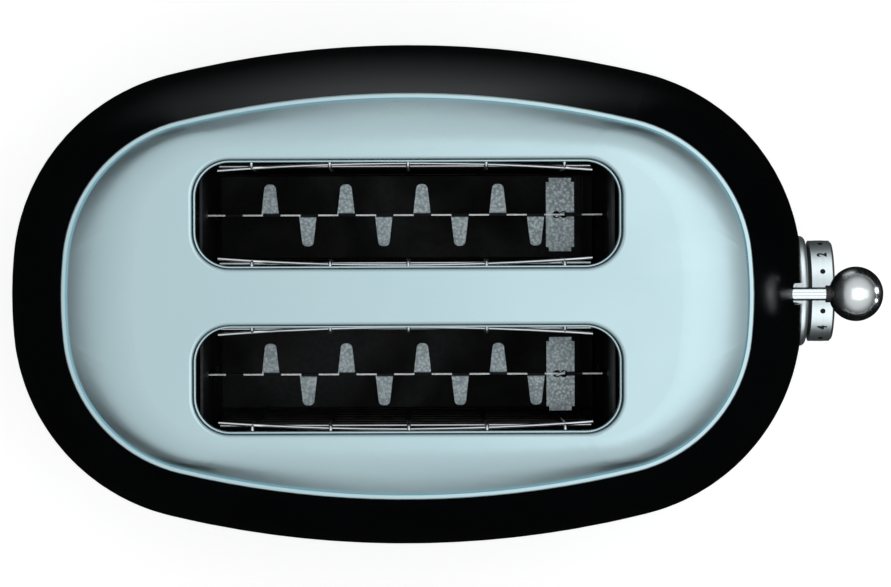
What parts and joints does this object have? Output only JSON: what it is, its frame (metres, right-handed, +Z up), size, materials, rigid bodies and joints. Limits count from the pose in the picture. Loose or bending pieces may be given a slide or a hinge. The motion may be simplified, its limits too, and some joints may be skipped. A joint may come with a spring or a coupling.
{
  "type": "toaster",
  "caption": "Long rounded toaster with a steel deck over two bread slots, a ball lever that lowers the bread, a browning dial with buttons and a crumb tray.",
  "frame": {"origin": "on the surface that the feet rest on, under the middle of the whole object's box", "axes": "+X along the slots towards the lever, +Y across them to the left, +Z up"},
  "size_m": [0.3313, 0.1924, 0.198],
  "materials": {
    "body_paint": "gloss",
    "deck_steel": "brushed, satin",
    "chrome": "polished",
    "dial_metal": "brushed, polished bevel",
    "oven_steel": "plain rolled sheet",
    "wire_steel": "drawn wire, plated",
    "carrier_steel": "matt, sand-blasted",
    "mica": "pressed mica",
    "heater_wire": "oxidised resistance wire",
    "black_plastic": "moulded",
    "button_plastic": "satin",
    "rubber": "matt",
    "circuit_board": "solder mask",
    "winding": "enamelled wire",
    "core_iron": "laminated",
    "terminal_plastic": "moulded",
    "wire_sleeve": "glass-fibre sleeving",
    "zinc": "zinc plated"
  },
  "bodies": {
    "housing": {"body_shell": "body_paint", "top_deck": "deck_steel", "slot_liner_left": "deck_steel", "slot_liner_right": "deck_steel", "plinth_band": "chrome", "base_pan": "black_plastic", "rubber_feet": "rubber", "oven_end_plate_front": "oven_steel", "oven_end_plate_rear": "oven_steel", "oven_side_panel_left": "oven_steel", "oven_side_panel_right": "oven_steel", "heater_board_left": "mica", "heater_board_centre": "mica", "heater_board_right": "mica", "heater_ribbon_left": "heater_wire", "heater_ribbon_centre": "heater_wire", "heater_ribbon_right": "heater_wire", "guide_rod": "zinc", "return_spring": "zinc", "electromagnet_core": "core_iron", "electromagnet_coil": "winding", "control_bracket": "black_plastic", "control_board": "circuit_board", "board_components": "black_plastic", "dial_bezel": "chrome", "dial_hub": "black_plastic", "dial_track": "circuit_board", "button_board": "circuit_board", "terminal_block": "terminal_plastic", "wiring": "wire_sleeve", "cord_gland": "black_plastic", "chassis_screws": "zinc", "shell_screws": "zinc", "board_screws": "zinc"},
    "carriage": {"carriage_bracket": "zinc", "bread_carrier_left": "carrier_steel", "bread_carrier_right": "carrier_steel", "spreader_plate_left": "carrier_steel", "spreader_plate_right": "carrier_steel", "armature_plate": "core_iron", "lever_stem": "chrome", "lever_collar": "black_plastic", "lever_ball": "chrome"},
    "browning_dial": {"dial_ring": "dial_metal", "dial_sleeve": "black_plastic", "dial_wiper": "winding"},
    "crumb_tray": {"crumb_tray": "oven_steel", "crumb_tray_grip": "chrome"},
    "bread_guard_left_outer": {"bread_guard_left_outer": "wire_steel"},
    "bread_guard_left_inner": {"bread_guard_left_inner": "wire_steel"},
    "bread_guard_right_inner": {"bread_guard_right_inner": "wire_steel"},
    "bread_guard_right_outer": {"bread_guard_right_outer": "wire_steel"},
    "reheat_button": {"reheat_button": "button_plastic"},
    "defrost_button": {"defrost_button": "button_plastic"},
    "cancel_button": {"cancel_button": "button_plastic"}
  },
  "joints": [
    {"name": "lever_slide", "type": "slide", "parent": "housing", "child": "carriage", "axis": [0, 0, -1], "range_m": [0, 0.072], "stiffness_N_per_m": 90, "springref_m": -0.05, "deforming": ["return_spring"]},
    {"name": "guard_left_outer_tip", "type": "hinge", "parent": "housing", "child": "bread_guard_left_outer", "pos_m": [-0.01145, 0.0476, 0.03], "axis": [1, 0, 0], "range_deg": [0, 2.6]},
    {"name": "guard_left_inner_tip", "type": "hinge", "parent": "housing", "child": "bread_guard_left_inner", "pos_m": [-0.01145, 0.0132, 0.03], "axis": [1, 0, 0], "range_deg": [-2.6, 0]},
    {"name": "guard_right_inner_tip", "type": "hinge", "parent": "housing", "child": "bread_guard_right_inner", "pos_m": [-0.01145, -0.0132, 0.03], "axis": [1, 0, 0], "range_deg": [0, 2.6]},
    {"name": "guard_right_outer_tip", "type": "hinge", "parent": "housing", "child": "bread_guard_right_outer", "pos_m": [-0.01145, -0.0476, 0.03], "axis": [1, 0, 0], "range_deg": [-2.6, 0]},
    {"name": "browning_dial_turn", "type": "hinge", "parent": "housing", "child": "browning_dial", "pos_m": [0.15155, 0, 0.052], "axis": [1, 0, 0], "range_deg": [-138, 92]},
    {"name": "reheat_button_press", "type": "slide", "parent": "housing", "child": "reheat_button", "axis": [-1, 0, 0], "range_m": [0, 0.001], "stiffness_N_per_m": 500, "springref_m": -0.001},
    {"name": "defrost_button_press", "type": "slide", "parent": "housing", "child": "defrost_button", "axis": [-1, 0, 0], "range_m": [0, 0.001], "stiffness_N_per_m": 500, "springref_m": -0.001},
    {"name": "cancel_button_press", "type": "slide", "parent": "housing", "child": "cancel_button", "axis": [-1, 0, 0], "range_m": [0, 0.001], "stiffness_N_per_m": 500, "springref_m": -0.001},
    {"name": "crumb_tray_slide", "type": "slide", "parent": "housing", "child": "crumb_tray", "axis": [-1, 0, 0], "range_m": [0, 0.2]}
  ],
  "couplings": [
    {"joint": "guard_left_outer_tip", "follows": "lever_slide", "rad_per_m": 0.625},
    {"joint": "guard_left_inner_tip", "follows": "lever_slide", "rad_per_m": -0.625},
    {"joint": "guard_right_inner_tip", "follows": "lever_slide", "rad_per_m": 0.625},
    {"joint": "guard_right_outer_tip", "follows": "lever_slide", "rad_per_m": -0.625}
  ]
}
